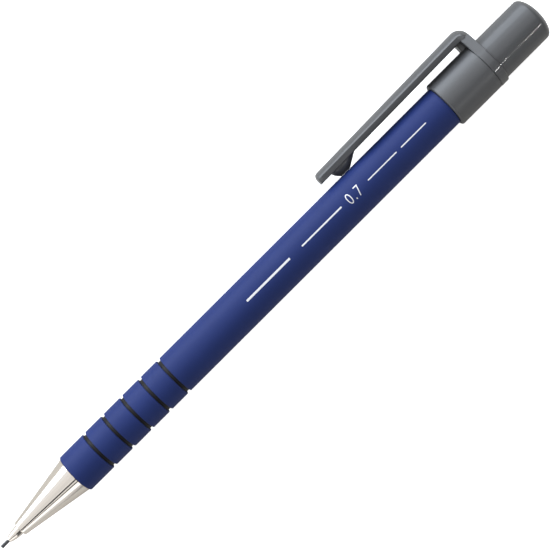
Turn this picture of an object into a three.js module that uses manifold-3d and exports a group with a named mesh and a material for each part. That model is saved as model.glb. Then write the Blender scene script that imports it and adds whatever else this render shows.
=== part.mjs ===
// Mechanical pencil for 0.7 mm lead: a push-button chuck mechanism in a rubber-skinned barrel, with a
// spring clip. Millimetres. Along the pencil, s runs from the tip of the lead to the end of the button.
// The model's +X is the way from tip to button, +Y is the clip's side, and +Z is up as the pencil lies.
import * as THREE from "three";
import { mergeVertices } from "three/addons/utils/BufferGeometryUtils.js";
import Module from "manifold-3d";

const wasm = await Module();
wasm.setup();

// ---------- Driving dimensions ----------

const LENGTH = 142.9; // lead tip to button end
const ROUND = 32; // sides of a turned piece
const SMALL = 24; // sides of a lead
const SNUG = 0.02; // gap between pieces that are pressed or bonded together
const RUN = 0.05; // radial gap between pieces that slide or turn in one another

const LEAD = { radius: 0.35, length: 60, bore: 0.36 };
const SPARE_LEADS = [
  { from: 41.5, y: -0.37 },
  { from: 44, y: 0.37 },
];
const SPARE_DROP = -1.2; // the spare leads lie at the bottom of their tube

const TIP = { mouth: 1.87, mouthRadius: 0.53, radius: 1.045, level: 4.5, end: 4.88, bore: 0.4 };
const CONE = { base: 19.64, baseRadius: 3.97, halfAngle: 9.36, noseRound: 0.33, baseBevel: 0.12 };
const SHANK = { end: 24.6, radius: 2.95, relief: 0.8, reliefDepth: 0.2, bevel: 0.35 };
const CONE_BORE = {
  retainer: 6.2,
  retainerRadius: 1.22,
  jaws: 9.05,
  jawRadius: 1.65,
  ring: 13.2,
  radius: 2.35,
};
const RETAINER = { from: 6.25, to: 8.95, lip: 0.25 };

const CHUCK = {
  front: 12.6,
  rear: 35,
  headRadius: 1.5,
  headFrom: 12.95,
  headTo: 13.6,
  neck: 15.4,
  radius: 1.1,
};
const JAWS = { count: 3, slit: 0.3, slitEnd: 24, grip: 2.4, bore: 0.6, overrun: 1 };
const CHUCK_RING = { from: 14, to: 16.2, radius: 2.25, bevel: 0.25 };
const SLEEVE = { front: 16.4, rear: 26.5, seat: 19.4, radius: 2.3, bore: 1.2, springBore: 1.95 };
const SLEEVE_FLANGE = { from: 24.7, to: 25.7, radius: 2.9 };
const SPRING = {
  from: 19.45,
  to: 31.95,
  coil: 1.55,
  wire: 0.2,
  turns: 10,
  dead: 1.2, // closed turns at each end
  closedPitch: 0.42,
  facets: 12, // steps in a turn
};
const COUPLING = { front: 32, shoulder: 36, rear: 40, radius: 2, spigot: 1.63, bore: 0.6 };

const LEAD_TUBE = { from: 36.05, flare: 128, cup: 129.5, to: 136.5, radius: 2.1, bore: 1.65 };
const TUBE_CUP = { radius: 3.4, bore: 2.55 };
const FERRULE = { from: 129.6, to: 136.8, radius: 2.5, wall: 0.2, bead: 0.12 };
const ERASER = { from: 129.95, to: 139.2, radius: 2.27, edge: 0.5 };

const CORE = { front: 19.7, rear: 123.9, radius: 3.86, bore: 2.75, thread: 3.05, shoulder: 25.8, step: 27.4 };
const SKIN = { radius: 4.278, front: 19.68, end: 118.06, edge: 0.1, frontEdge: 0.2 };
const GROOVES = { first: 26.24, pitch: 4.93, count: 5, width: 0.55 };

const COLLAR = { from: 118.1, to: 128.38, radius: 5.02, bore: 4.72, step: 123.95, round: 0.38 };
const CLIP_RING = { from: 128.42, to: 130.3, radius: 5.06, bore: 4.72, edge: 0.22 };
const BRIDGE = { to: 130.42, top: 6.38, halfWidth: 2.78, tangent: 67 };
const WEB = { from: 127.4, bottom: 5.1, halfWidth: 1.5 };
const ARM = { end: 91.15, root: 128.35, innerEnd: 5.86, innerRoot: 6.42, thickEnd: 2.22, thickRoot: 2.42 };
const ARM_SECTION = {
  endHalfWidth: 2.7,
  rootHalfWidth: 2.97,
  side: 1.02,
  bevel: 0.12,
  leastCrown: 0.1,
  crownSteps: 8,
};
const ARM_END = { round: 0.85, steps: 4 };
const ARM_ROLL_STEPS = 6; // sections of the quarter turn over the bridge
const NUB = { top: 5.97, bottom: 4.3, front: 93.85, rear: 100, footFront: 94.95, footRear: 97.2 };
const NUB_WIDTH = { top: 2.1, foot: 0.7, steps: 6 };

const BUTTON = { from: 127.6, shoulder: 141, radius: 4.65, flat: 1, bevel: 0.3, domeSteps: 8 };
const BUTTON_BORE = { radius: 3.45, step: 137.2, narrow: 2.9, end: 140.8 };

// ---------- Finishes ----------

function finish(color, roughness, metalness = 0) {
  return new THREE.MeshStandardMaterial({ color, roughness, metalness });
}

const BLUE_RUBBER = finish(0x2f3c7c, 0.6);
const BLACK_ABS = finish(0x1c1c20, 0.55);
const GREY_ABS = finish(0x6f7279, 0.35);
const NICKEL = finish(0xd8d4cc, 0.12, 1);
const BRASS = finish(0xc9a650, 0.3, 1);
const SPRING_STEEL = finish(0xa9abae, 0.3, 1);
const ALUMINIUM = finish(0xc6c8cb, 0.3, 1);
const CLEAR_PP = finish(0xdfe3e4, 0.4);
const WHITE_VINYL = finish(0xf2f0ea, 0.7);
const GRAPHITE = finish(0x3c3d40, 0.45, 0.2);

// ---------- Shape helpers ----------

const radians = THREE.MathUtils.degToRad;

// A piece turned on the pencil's axis. Its profile is a list of [s, radius] that starts and ends on the
// axis, or closes on itself, with the outside run in the direction of growing s.
function turned(profile, sides = ROUND) {
  const points = profile.map(([s, r]) => new THREE.Vector2(r, s));
  return new THREE.LatheGeometry(points, sides).rotateZ(-Math.PI / 2);
}

// The same for a piece with a bore: the outside run, and the inside run from the rear back to the front.
function turnedHollow(outside, inside, sides = ROUND) {
  return turned([...outside, ...inside, outside[0]], sides);
}

// Points on an arc about [s, r]; angles are in degrees from the +s direction towards larger radius.
function arc(s, r, radius, fromAngle, toAngle, steps = 4) {
  const points = [];
  for (let i = 0; i <= steps; i += 1) {
    const angle = radians(fromAngle + ((toAngle - fromAngle) * i) / steps);
    points.push([s + radius * Math.cos(angle), r + radius * Math.sin(angle)]);
  }
  return points;
}

// Points on the arc that rises from one point of a profile to another and runs level at its end.
function ogive([s0, r0], [s1, r1], steps = 6) {
  const radius = ((s1 - s0) ** 2 + (r1 - r0) ** 2) / (2 * (r1 - r0));
  const points = [];
  for (let i = 0; i <= steps; i += 1) {
    const s = s0 + ((s1 - s0) * i) / steps;
    points.push([s, r1 - radius + Math.sqrt(radius ** 2 - (s1 - s) ** 2)]);
  }
  return points;
}

// A closed skin over a list of sections, each a ring of the same number of points round a convex outline,
// run anticlockwise as seen when looking from the first section to the last.
function loft(sections) {
  const count = sections[0].length;
  const position = sections.flat().flatMap((point) => [point.x, point.y, point.z]);
  const index = [];
  for (let k = 0; k + 1 < sections.length; k += 1) {
    for (let i = 0; i < count; i += 1) {
      const a = k * count + i;
      const b = k * count + ((i + 1) % count);
      index.push(a, a + count, b, b, a + count, b + count);
    }
  }
  const last = (sections.length - 1) * count;
  for (let i = 1; i + 1 < count; i += 1) {
    index.push(0, i, i + 1);
    index.push(last, last + i + 1, last + i);
  }
  const geometry = new THREE.BufferGeometry();
  geometry.setAttribute("position", new THREE.Float32BufferAttribute(position, 3));
  geometry.setIndex(index);
  return geometry;
}

// An outline of [z, y] points extruded along the pencil, from one s to another.
function plate(outline, from, to) {
  const shape = new THREE.Shape(outline.map(([z, y]) => new THREE.Vector2(z, y)));
  const geometry = new THREE.ExtrudeGeometry(shape, { depth: to - from, bevelEnabled: false });
  return geometry.rotateY(Math.PI / 2).translate(from, 0, 0);
}

function toSolid(geometry) {
  const bare = new THREE.BufferGeometry();
  bare.setAttribute("position", geometry.getAttribute("position"));
  bare.setIndex(geometry.getIndex());
  const merged = mergeVertices(bare, 1e-4);
  return new wasm.Manifold(
    new wasm.Mesh({
      numProp: 3,
      vertProperties: merged.getAttribute("position").array,
      triVerts: new Uint32Array(merged.getIndex().array),
    }),
  );
}

function toGeometry(solid) {
  const mesh = solid.getMesh();
  const geometry = new THREE.BufferGeometry();
  geometry.setAttribute("position", new THREE.BufferAttribute(mesh.vertProperties, 3));
  geometry.setIndex(new THREE.BufferAttribute(mesh.triVerts, 1));
  return geometry;
}

function joined(...geometries) {
  return toGeometry(geometries.map(toSolid).reduce((a, b) => a.add(b)));
}

function cut(geometry, ...tools) {
  return toGeometry(tools.map(toSolid).reduce((a, b) => a.subtract(b), toSolid(geometry)));
}

// ---------- Nose ----------

function coneRadius(s) {
  return CONE.baseRadius - (CONE.base - s) * Math.tan(radians(CONE.halfAngle));
}

// The nose in one turned piece: rounded tip stage, straight cone, and the shank that screws into the barrel.
function noseCone() {
  const roundCentre = TIP.end + CONE.noseRound;
  const roundRadius = coneRadius(roundCentre) - CONE.noseRound / Math.cos(radians(CONE.halfAngle));
  const outside = [
    [TIP.mouth, TIP.bore],
    ...ogive([TIP.mouth, TIP.mouthRadius], [TIP.level, TIP.radius]),
    [TIP.end, TIP.radius],
    ...arc(roundCentre, roundRadius, CONE.noseRound, 180, 90 + CONE.halfAngle),
    [CONE.base - CONE.baseBevel, coneRadius(CONE.base - CONE.baseBevel)],
    [CONE.base, CONE.baseRadius - CONE.baseBevel],
    [CONE.base, SHANK.radius - SHANK.reliefDepth],
    [CONE.base + SHANK.relief, SHANK.radius - SHANK.reliefDepth],
    [CONE.base + SHANK.relief + SHANK.reliefDepth, SHANK.radius],
    [SHANK.end - SHANK.bevel, SHANK.radius],
    [SHANK.end, SHANK.radius - SHANK.bevel],
  ];
  const inside = [
    [SHANK.end, CONE_BORE.radius],
    [CONE_BORE.ring, CONE_BORE.radius],
    [CONE_BORE.ring, CONE_BORE.jawRadius],
    [CONE_BORE.jaws, CONE_BORE.jawRadius],
    [CONE_BORE.jaws, CONE_BORE.retainerRadius],
    [CONE_BORE.retainer, CONE_BORE.retainerRadius],
    [CONE_BORE.retainer, TIP.bore],
  ];
  return turnedHollow(outside, inside);
}

function leadRetainer() {
  const radius = CONE_BORE.retainerRadius - SNUG;
  const outside = [
    [RETAINER.from, LEAD.bore],
    [RETAINER.from, radius],
    [RETAINER.to - RETAINER.lip, radius],
    [RETAINER.to, radius - RETAINER.lip],
  ];
  return turnedHollow(outside, [[RETAINER.to, LEAD.bore]], SMALL);
}

// ---------- Chuck ----------

function wedgeRadius(s) {
  const share = (s - CHUCK.headTo) / (CHUCK.neck - CHUCK.headTo);
  return CHUCK.headRadius - (CHUCK.headRadius - CHUCK.radius) * THREE.MathUtils.clamp(share, 0, 1);
}

// Three jaws on one shank: a turned blank whose front is sawn from the axis outwards.
function chuck() {
  const blank = turnedHollow(
    [
      [CHUCK.front, LEAD.bore],
      [CHUCK.front, CHUCK.headRadius - (CHUCK.headFrom - CHUCK.front)],
      [CHUCK.headFrom, CHUCK.headRadius],
      [CHUCK.headTo, CHUCK.headRadius],
      [CHUCK.neck, CHUCK.radius],
      [CHUCK.rear, CHUCK.radius],
    ],
    [
      [CHUCK.rear, JAWS.bore],
      [CHUCK.front + JAWS.grip + JAWS.bore, JAWS.bore],
      [CHUCK.front + JAWS.grip, LEAD.bore],
    ],
  );
  const reach = JAWS.slitEnd - CHUCK.front + JAWS.overrun;
  const saws = [];
  for (let k = 0; k < JAWS.count; k += 1) {
    const saw = new THREE.BoxGeometry(reach, 2 * CHUCK.headRadius, JAWS.slit);
    saw.translate(JAWS.slitEnd - reach / 2, CHUCK.headRadius, 0);
    saws.push(saw.rotateX((2 * Math.PI * k) / JAWS.count + Math.PI / 2));
  }
  return cut(blank, ...saws);
}

// The ring that wedges the jaws shut. Its bore follows their cone.
function chuckRing() {
  const { from, to, radius, bevel } = CHUCK_RING;
  const outside = [
    [from, wedgeRadius(from) + RUN],
    [from, radius - bevel],
    [from + bevel, radius],
    [to - bevel, radius],
    [to, radius - bevel],
  ];
  const inside = [
    [to, CHUCK.radius + RUN],
    [CHUCK.neck, CHUCK.radius + RUN],
  ];
  return turnedHollow(outside, inside);
}

function chuckSleeve() {
  const outside = [
    [SLEEVE.front, SLEEVE.bore],
    [SLEEVE.front, SLEEVE.radius],
    [SLEEVE_FLANGE.from, SLEEVE.radius],
    [SLEEVE_FLANGE.from, SLEEVE_FLANGE.radius],
    [SLEEVE_FLANGE.to, SLEEVE_FLANGE.radius],
    [SLEEVE_FLANGE.to, SLEEVE.radius],
    [SLEEVE.rear, SLEEVE.radius],
  ];
  const inside = [
    [SLEEVE.rear, SLEEVE.springBore],
    [SLEEVE.seat, SLEEVE.springBore],
    [SLEEVE.seat, SLEEVE.bore],
  ];
  return turnedHollow(outside, inside);
}

// A compression spring with closed ends: dead turns lie wire to wire, and the rest share the length.
class SpringLine extends THREE.Curve {
  getPoint(t) {
    const { from, to, wire, turns, dead, closedPitch, coil } = SPRING;
    const turn = t * turns;
    const openLength = to - from - 2 * wire - 2 * dead * closedPitch;
    const closedTurns = Math.min(turn, dead) + Math.max(turn - (turns - dead), 0);
    const openShare = (turn - closedTurns) / (turns - 2 * dead);
    const s = from + wire + closedTurns * closedPitch + openShare * openLength;
    const angle = turn * 2 * Math.PI;
    return new THREE.Vector3(s, coil * Math.cos(angle), coil * Math.sin(angle));
  }
}

function returnSpring() {
  const section = new THREE.Shape();
  section.absarc(0, 0, SPRING.wire, 0, 2 * Math.PI);
  return new THREE.ExtrudeGeometry(section, {
    steps: SPRING.turns * SPRING.facets,
    curveSegments: 3,
    extrudePath: new SpringLine(),
  });
}

function chuckCoupling() {
  const outside = [
    [COUPLING.front, CHUCK.radius + SNUG],
    [COUPLING.front, COUPLING.radius],
    [COUPLING.shoulder, COUPLING.radius],
    [COUPLING.shoulder, COUPLING.spigot],
    [COUPLING.rear, COUPLING.spigot],
  ];
  const inside = [
    [COUPLING.rear, COUPLING.bore],
    [CHUCK.rear + SNUG, COUPLING.bore],
    [CHUCK.rear + SNUG, CHUCK.radius + SNUG],
  ];
  return turnedHollow(outside, inside);
}

// ---------- Lead, its tube and the eraser ----------

function lead(from) {
  return turned(
    [
      [from, 0],
      [from, LEAD.radius],
      [from + LEAD.length, LEAD.radius],
      [from + LEAD.length, 0],
    ],
    SMALL,
  );
}

// The reservoir tube, widened at its rear into the cup that holds the eraser and carries the button.
function leadTube() {
  const { from, flare, cup, to, radius, bore } = LEAD_TUBE;
  const outside = [
    [from, bore],
    [from, radius],
    [flare, radius],
    [cup, TUBE_CUP.radius],
    [to, TUBE_CUP.radius],
  ];
  const inside = [
    [to, TUBE_CUP.bore],
    [cup, TUBE_CUP.bore],
    [cup, bore],
  ];
  return turnedHollow(outside, inside);
}

function eraserFerrule() {
  const { from, to, radius, wall, bead } = FERRULE;
  const lip = to - 2 * bead;
  return turned([
    [from, 0],
    [from, radius],
    [lip, radius],
    [to, radius - bead],
    [to, radius - wall],
    [from + wall, radius - wall],
    [from + wall, 0],
  ]);
}

function eraser() {
  const { from, to, radius, edge } = ERASER;
  return turned([[from, 0], [from, radius], ...arc(to - edge, radius - edge, edge, 90, 0), [to, 0]]);
}

// ---------- Barrel ----------

function barrelCore() {
  const outside = [
    [CORE.front, CORE.thread],
    [CORE.front, CORE.radius],
    [CORE.rear, CORE.radius],
  ];
  const inside = [
    [CORE.rear, CORE.bore],
    [CORE.step, CORE.bore],
    [CORE.step, CONE_BORE.radius],
    [CORE.shoulder, CONE_BORE.radius],
    [CORE.shoulder, CORE.thread],
  ];
  return turnedHollow(outside, inside);
}

// One length of the rubber skin, with softened edges.
function skinLength(from, to, frontEdge = SKIN.edge) {
  const bore = CORE.radius + SNUG;
  const outside = [
    [from, bore],
    ...arc(from + frontEdge, SKIN.radius - frontEdge, frontEdge, 180, 90, 3),
    ...arc(to - SKIN.edge, SKIN.radius - SKIN.edge, SKIN.edge, 90, 0, 3),
  ];
  return turnedHollow(outside, [[to, bore]]);
}

function grooveCentre(k) {
  return GROOVES.first + GROOVES.pitch * k;
}

// ---------- Collar and clip ----------

function collar() {
  const { from, to, radius, bore, step, round } = COLLAR;
  const outside = [
    [from, CORE.radius + SNUG],
    ...arc(from + round, radius - round, round, 180, 90),
    [to, radius],
  ];
  const inside = [
    [to, bore],
    [step, bore],
    [step, CORE.radius + SNUG],
  ];
  return turnedHollow(outside, inside);
}

// The clip's foot: a ring with a bridge whose flat flanks run off the ring, and a web under the arm.
function clipRing() {
  const { from, to, radius, bore, edge } = CLIP_RING;
  const ring = turned([
    [from, 0],
    ...arc(from + edge, radius - edge, edge, 180, 90, 3),
    ...arc(to - edge, radius - edge, edge, 90, 0, 3),
    [to, 0],
  ]);
  const flankZ = radius * Math.sin(radians(BRIDGE.tangent));
  const flankY = radius * Math.cos(radians(BRIDGE.tangent));
  const outline = [
    [flankZ, flankY],
    [BRIDGE.halfWidth, BRIDGE.top],
    [-BRIDGE.halfWidth, BRIDGE.top],
    [-flankZ, flankY],
  ];
  const bridge = plate(outline, from, BRIDGE.to);
  const web = new THREE.BoxGeometry(from - WEB.from + edge, BRIDGE.top - WEB.bottom, 2 * WEB.halfWidth);
  web.translate((from + edge + WEB.from) / 2, (BRIDGE.top + WEB.bottom) / 2, 0);
  const hole = turned([
    [WEB.from, 0],
    [WEB.from, bore],
    [BRIDGE.to + edge, bore],
    [BRIDGE.to + edge, 0],
  ]);
  return cut(joined(ring, bridge, web), hole);
}

// One section of the arm: flat inner face, short upright sides and a crowned outer face. It stands across
// the direction given in degrees, with its inner face's middle at [s, y].
function armSection(s, y, direction, halfWidth, thickness) {
  const { side, bevel, leastCrown, crownSteps } = ARM_SECTION;
  const sideTop = Math.min(side, thickness - leastCrown);
  const rise = thickness - sideTop;
  const crown = (halfWidth ** 2 + rise ** 2) / (2 * rise);
  const spread = Math.asin(halfWidth / crown);
  const outline = [
    [-halfWidth, bevel],
    [-halfWidth + bevel, 0],
    [halfWidth - bevel, 0],
    [halfWidth, bevel],
  ];
  for (let i = 0; i <= crownSteps; i += 1) {
    const angle = spread * (1 - (2 * i) / crownSteps);
    outline.push([crown * Math.sin(angle), thickness - crown + crown * Math.cos(angle)]);
  }
  const turn = radians(direction);
  return outline.map(([z, v]) => new THREE.Vector3(s - v * Math.sin(turn), y + v * Math.cos(turn), z));
}

// The arm runs straight along the barrel and rolls over the bridge in a quarter turn.
function armSections() {
  const run = ARM.root - ARM.end;
  const slope = THREE.MathUtils.radToDeg(Math.atan((ARM.innerRoot - ARM.innerEnd) / run));
  const at = (s, thickness) => {
    const share = (s - ARM.end) / run;
    const halfWidth = THREE.MathUtils.lerp(ARM_SECTION.endHalfWidth, ARM_SECTION.rootHalfWidth, share);
    const y = THREE.MathUtils.lerp(ARM.innerEnd, ARM.innerRoot, share);
    return armSection(s, y, slope, halfWidth, thickness);
  };
  const sections = [];
  for (const [offset, height] of arc(ARM_END.round, -ARM_END.round, ARM_END.round, 180, 90, ARM_END.steps)) {
    sections.push(at(ARM.end + offset, ARM.thickEnd + height));
  }
  sections.push(at((ARM.end + ARM.root) / 2, (ARM.thickEnd + ARM.thickRoot) / 2));
  for (let i = 0; i <= ARM_ROLL_STEPS; i += 1) {
    const direction = slope - ((90 + slope) * i) / ARM_ROLL_STEPS;
    const clear = new THREE.Vector3(-Math.sin(radians(direction)), Math.cos(radians(direction)), 0);
    const section = armSection(ARM.root, ARM.innerRoot, direction, ARM_SECTION.rootHalfWidth, ARM.thickRoot);
    sections.push(section.map((point) => point.addScaledVector(clear, SNUG)));
  }
  return sections;
}

// The nub under the arm's end, which grips the cloth: a round-fronted, straight-backed boss.
function nubSections() {
  const sections = [];
  for (let k = 0; k <= NUB_WIDTH.steps; k += 1) {
    const share = k / NUB_WIDTH.steps;
    const front = NUB.front + (NUB.footFront - NUB.front) * (1 - Math.cos((share * Math.PI) / 2));
    const rear = THREE.MathUtils.lerp(NUB.rear, NUB.footRear, share);
    const width = NUB_WIDTH.foot + (NUB_WIDTH.top - NUB_WIDTH.foot) * Math.cos((share * Math.PI) / 2);
    const y = THREE.MathUtils.lerp(NUB.top, NUB.bottom, share);
    const ring = [];
    for (let i = 0; i < SMALL; i += 1) {
      const angle = (-2 * Math.PI * i) / SMALL;
      const s = (front + rear) / 2 + ((rear - front) / 2) * Math.cos(angle);
      ring.push(new THREE.Vector3(s, y, width * Math.sin(angle)));
    }
    sections.push(ring);
  }
  return sections;
}

function clipArm() {
  return joined(loft(armSections()), loft(nubSections()));
}

// ---------- Button ----------

function pushButton() {
  const { from, shoulder, radius, flat, bevel, domeSteps } = BUTTON;
  const depth = LENGTH - shoulder;
  const domeEnd = Math.asin(flat / radius);
  const dome = [];
  for (let i = 0; i <= domeSteps; i += 1) {
    const angle = (Math.PI / 2 - domeEnd) * (i / domeSteps);
    const share = Math.sin(angle) / Math.cos(domeEnd);
    dome.push([shoulder + depth * share, radius * Math.cos(angle)]);
  }
  return turned([
    [from, BUTTON_BORE.radius],
    [from, radius - bevel],
    [from + bevel, radius],
    ...dome,
    [LENGTH, 0],
    [BUTTON_BORE.end, 0],
    [BUTTON_BORE.end, BUTTON_BORE.narrow],
    [BUTTON_BORE.step, BUTTON_BORE.narrow],
    [BUTTON_BORE.step, BUTTON_BORE.radius],
    [from, BUTTON_BORE.radius],
  ]);
}

// ---------- Assembly ----------

// The lying pencil's lowest point is the clip ring, and the clip makes it wider on its +Y side.
const pencil = new THREE.Group();
const clipTop = ARM.innerRoot + ARM.thickRoot + SNUG;
pencil.position.set(-LENGTH / 2, (CLIP_RING.radius - clipTop) / 2, CLIP_RING.radius);

function add(name, geometry, material) {
  geometry.computeVertexNormals();
  const mesh = new THREE.Mesh(geometry, material);
  mesh.name = name;
  pencil.add(mesh);
  return mesh;
}

add("nose_cone", noseCone(), NICKEL);
add("lead_retainer", leadRetainer(), BLACK_ABS);
add("lead", lead(0), GRAPHITE);
add("chuck", chuck(), BRASS);
add("chuck_ring", chuckRing(), BRASS);
add("chuck_sleeve", chuckSleeve(), BLACK_ABS);
add("return_spring", returnSpring(), SPRING_STEEL);
add("chuck_coupling", chuckCoupling(), CLEAR_PP);
add("lead_tube", leadTube(), CLEAR_PP);
SPARE_LEADS.forEach(({ from, y }, k) => {
  add(`spare_lead_${k + 1}`, lead(from), GRAPHITE).position.set(0, y, SPARE_DROP);
});
add("eraser_ferrule", eraserFerrule(), ALUMINIUM);
add("eraser", eraser(), WHITE_VINYL);
add("push_button", pushButton(), GREY_ABS);

add("barrel_core", barrelCore(), BLACK_ABS);
for (let k = 0; k < GROOVES.count; k += 1) {
  const from = k === 0 ? SKIN.front : grooveCentre(k - 1) + GROOVES.width / 2;
  const frontEdge = k === 0 ? SKIN.frontEdge : SKIN.edge;
  add(`grip_band_${k + 1}`, skinLength(from, grooveCentre(k) - GROOVES.width / 2, frontEdge), BLUE_RUBBER);
}
const sleeveFrom = grooveCentre(GROOVES.count - 1) + GROOVES.width / 2;
add("barrel_sleeve", skinLength(sleeveFrom, SKIN.end), BLUE_RUBBER);
add("collar", collar(), GREY_ABS);
add("clip_ring", clipRing(), GREY_ABS);
add("clip_arm", clipArm(), GREY_ABS);

export default pencil;
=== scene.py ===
"""Mechanical pencil for 0.7 mm lead: its fine pieces, their finishes and a soft studio.

Profiles and sections are in millimetres in the pencil's own directions: s runs along the axis from the
lead's tip towards the button, y towards the clip and z up.
"""

import math

import bmesh
import bpy
from bpy.props import FloatProperty, FloatVectorProperty, IntProperty, PointerProperty, StringProperty
from mathutils import Matrix, Vector


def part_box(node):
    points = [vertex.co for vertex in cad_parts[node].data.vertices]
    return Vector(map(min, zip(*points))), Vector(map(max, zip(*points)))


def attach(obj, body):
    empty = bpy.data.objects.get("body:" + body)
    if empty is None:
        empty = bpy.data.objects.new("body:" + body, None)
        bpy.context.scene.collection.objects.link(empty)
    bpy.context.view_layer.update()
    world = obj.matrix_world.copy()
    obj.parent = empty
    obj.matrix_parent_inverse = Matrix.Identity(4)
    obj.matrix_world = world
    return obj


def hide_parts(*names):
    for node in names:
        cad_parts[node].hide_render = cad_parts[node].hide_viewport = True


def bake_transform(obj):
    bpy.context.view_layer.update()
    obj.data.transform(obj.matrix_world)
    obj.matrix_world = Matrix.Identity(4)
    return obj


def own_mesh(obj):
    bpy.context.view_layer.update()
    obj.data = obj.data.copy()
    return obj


bl_info = {
    "name": "Mechanical Pencil",
    "version": (1, 0, 0),
    "blender": (4, 5, 0),
    "location": "View3D > Sidebar > Pencil",
    "description": "Builds a push-button mechanical pencil with its finishes and a soft studio",
    "category": "Add Mesh",
}

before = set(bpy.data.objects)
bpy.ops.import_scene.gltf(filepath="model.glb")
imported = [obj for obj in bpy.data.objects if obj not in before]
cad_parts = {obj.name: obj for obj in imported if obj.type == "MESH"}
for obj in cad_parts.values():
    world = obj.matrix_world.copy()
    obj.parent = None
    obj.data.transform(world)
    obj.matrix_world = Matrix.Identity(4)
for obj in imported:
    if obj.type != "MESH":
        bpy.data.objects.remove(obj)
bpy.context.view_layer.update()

MM = 0.001
TIP_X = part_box("lead")[0].x
AXIS = (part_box("barrel_sleeve")[0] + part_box("barrel_sleeve")[1]) / 2
SHARP = math.radians(32)  # edges that turn by more than this stay crisp
SMALL_SIDES, INNER_SIDES = 48, 96  # sides of the leads, and of the other pieces inside


def span(node):
    """Where a turned CAD node starts and ends along the pencil, and its radius, in millimetres."""
    low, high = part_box(node)
    return (low.x - TIP_X) / MM, (high.x - TIP_X) / MM, (high.y - low.y) / 2 / MM


SKIN_RADIUS = span("barrel_sleeve")[2]


def linear(hex_colour):
    """An sRGB hex colour as linear red, green and blue."""
    values = [int(hex_colour[i : i + 2], 16) / 255 for i in (0, 2, 4)]
    return tuple(v / 12.92 if v <= 0.04045 else ((v + 0.055) / 1.055) ** 2.4 for v in values)


def colour(name, description, hex_colour):
    """A colour property whose default is an sRGB hex colour."""
    return FloatVectorProperty(
        name=name, description=description, subtype="COLOR", size=3, min=0, max=1, default=linear(hex_colour)
    )


def length(name, description, millimetres):
    """A length property whose default is given in millimetres."""
    return FloatProperty(
        name=name, description=description, unit="LENGTH", precision=5, default=millimetres * MM
    )


class PencilSizes(bpy.types.PropertyGroup):
    """Sizes of the details that are finer than the frame."""

    sides: IntProperty(name="Sides", description="Sides of a turned piece", default=128, min=24, max=256)
    thread_pitch: length("Thread pitch", "Pitch of the screw between nose and barrel", 0.75)
    thread_depth: length("Thread depth", "Depth of that screw's thread", 0.26)
    groove_width: length("Groove width", "Width of a groove in the grip", 0.72)
    groove_pitch: length("Groove pitch", "Distance from one groove of the grip to the next", 4.93)
    band_edge: length("Band edge", "Rounding on the edges of the rubber bands", 0.16)
    mark_height: length("Mark height", "Height of the printed lead size", 2.2)
    mark_start: length("Mark start", "Distance of the printed lead size from the lead's tip", 92.18)
    mark_length: length("Mark length", "Length of the printed lead size along the barrel", 3.35)
    mark_text: StringProperty(
        name="Lead size", description="The lead size printed on the barrel", default="0.7"
    )


class PencilColours(bpy.types.PropertyGroup):
    """Colours of the pencil's finishes."""

    rubber: colour("Barrel rubber", "Soft-touch rubber of the barrel and grip", "1D2B5D")
    trim: colour("Trim plastic", "Grey plastic of the collar, clip and button", "434446")
    nickel: colour("Nickel", "Plating of the nose", "DAD3CB")
    brass: colour("Brass", "Chuck and its ring", "C9A650")
    graphite: colour("Lead", "Graphite lead", "323335")
    black: colour("Black plastic", "Barrel core and chuck sleeve", "0E0E10")
    natural: colour("Natural plastic", "Lead tube and coupling", "DFE3E4")
    steel: colour("Steel", "Return spring", "A9ABAE")
    aluminium: colour("Aluminium", "Eraser ferrule", "C6C8CB")
    vinyl: colour("Eraser", "White vinyl eraser", "F2F0EA")
    bush: colour("Nose bush", "Black rubber bush in the nose", "1C1C1E")
    ink: colour("Print", "Silver print on the barrel", "D9DADC")
    paper: colour("Floor", "White floor under the pencil", "F6F6F6")
    table: colour("Table", "Pale grey table that the polished nose reflects", "CFCCC6")
    card: colour("Card", "Black cards between the lights", "0D0D0D")


# ---------- Node and mesh helpers ----------


def add_node(tree, kind, settings=None, inputs=None):
    """Adds a node. Settings are its own properties; an input is a value, or the socket that feeds it."""
    node = tree.nodes.new(kind)
    for key, value in (settings or {}).items():
        setattr(node, key, value)
    for key, value in (inputs or {}).items():
        if isinstance(value, bpy.types.NodeSocket):
            tree.links.new(value, node.inputs[key])
        else:
            node.inputs[key].default_value = value
    return node


def new_material(name, shader_inputs):
    """A material with one Principled shader, made afresh if it is there already. Returns it, its node tree
    and the shader."""
    material = bpy.data.materials.get(name) or bpy.data.materials.new(name)
    material.use_nodes = True
    tree = material.node_tree
    tree.nodes.clear()
    shader = add_node(tree, "ShaderNodeBsdfPrincipled", inputs=shader_inputs)
    add_node(tree, "ShaderNodeOutputMaterial", inputs={"Surface": shader.outputs["BSDF"]})
    return material, tree, shader


def rgba(rgb):
    """The colour as red, green, blue and an alpha of one."""
    return (rgb[0], rgb[1], rgb[2], 1.0)


def shaded(rgb, factor):
    """The colour made darker or lighter by a factor, as red, green, blue and alpha."""
    return (min(rgb[0] * factor, 1), min(rgb[1] * factor, 1), min(rgb[2] * factor, 1), 1.0)


def place(s, y, z):
    """A point of the pencil in the frame, in metres."""
    return Vector((TIP_X + s * MM, AXIS.y + y * MM, AXIS.z + z * MM))


def add_object(name, data):
    """Puts an object in the scene around a mesh, a light, a camera or a text."""
    thing = bpy.data.objects.new(name, data)
    bpy.context.scene.collection.objects.link(thing)
    return thing


def mesh_object(name, points, faces, material):
    """A mesh object from points in metres."""
    mesh = bpy.data.meshes.new(name)
    mesh.from_pydata(points, [], faces)
    mesh.materials.append(material)
    return add_object(name, mesh)


def make_piece(name, points, faces, material):
    """A piece of the pencil from points in millimetres, smooth except across its sharp edges."""
    piece = mesh_object(name, [place(*point) for point in points], faces, material)
    piece.data.shade_smooth()
    piece.data.set_sharp_from_angle(angle=SHARP)
    return piece


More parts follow.
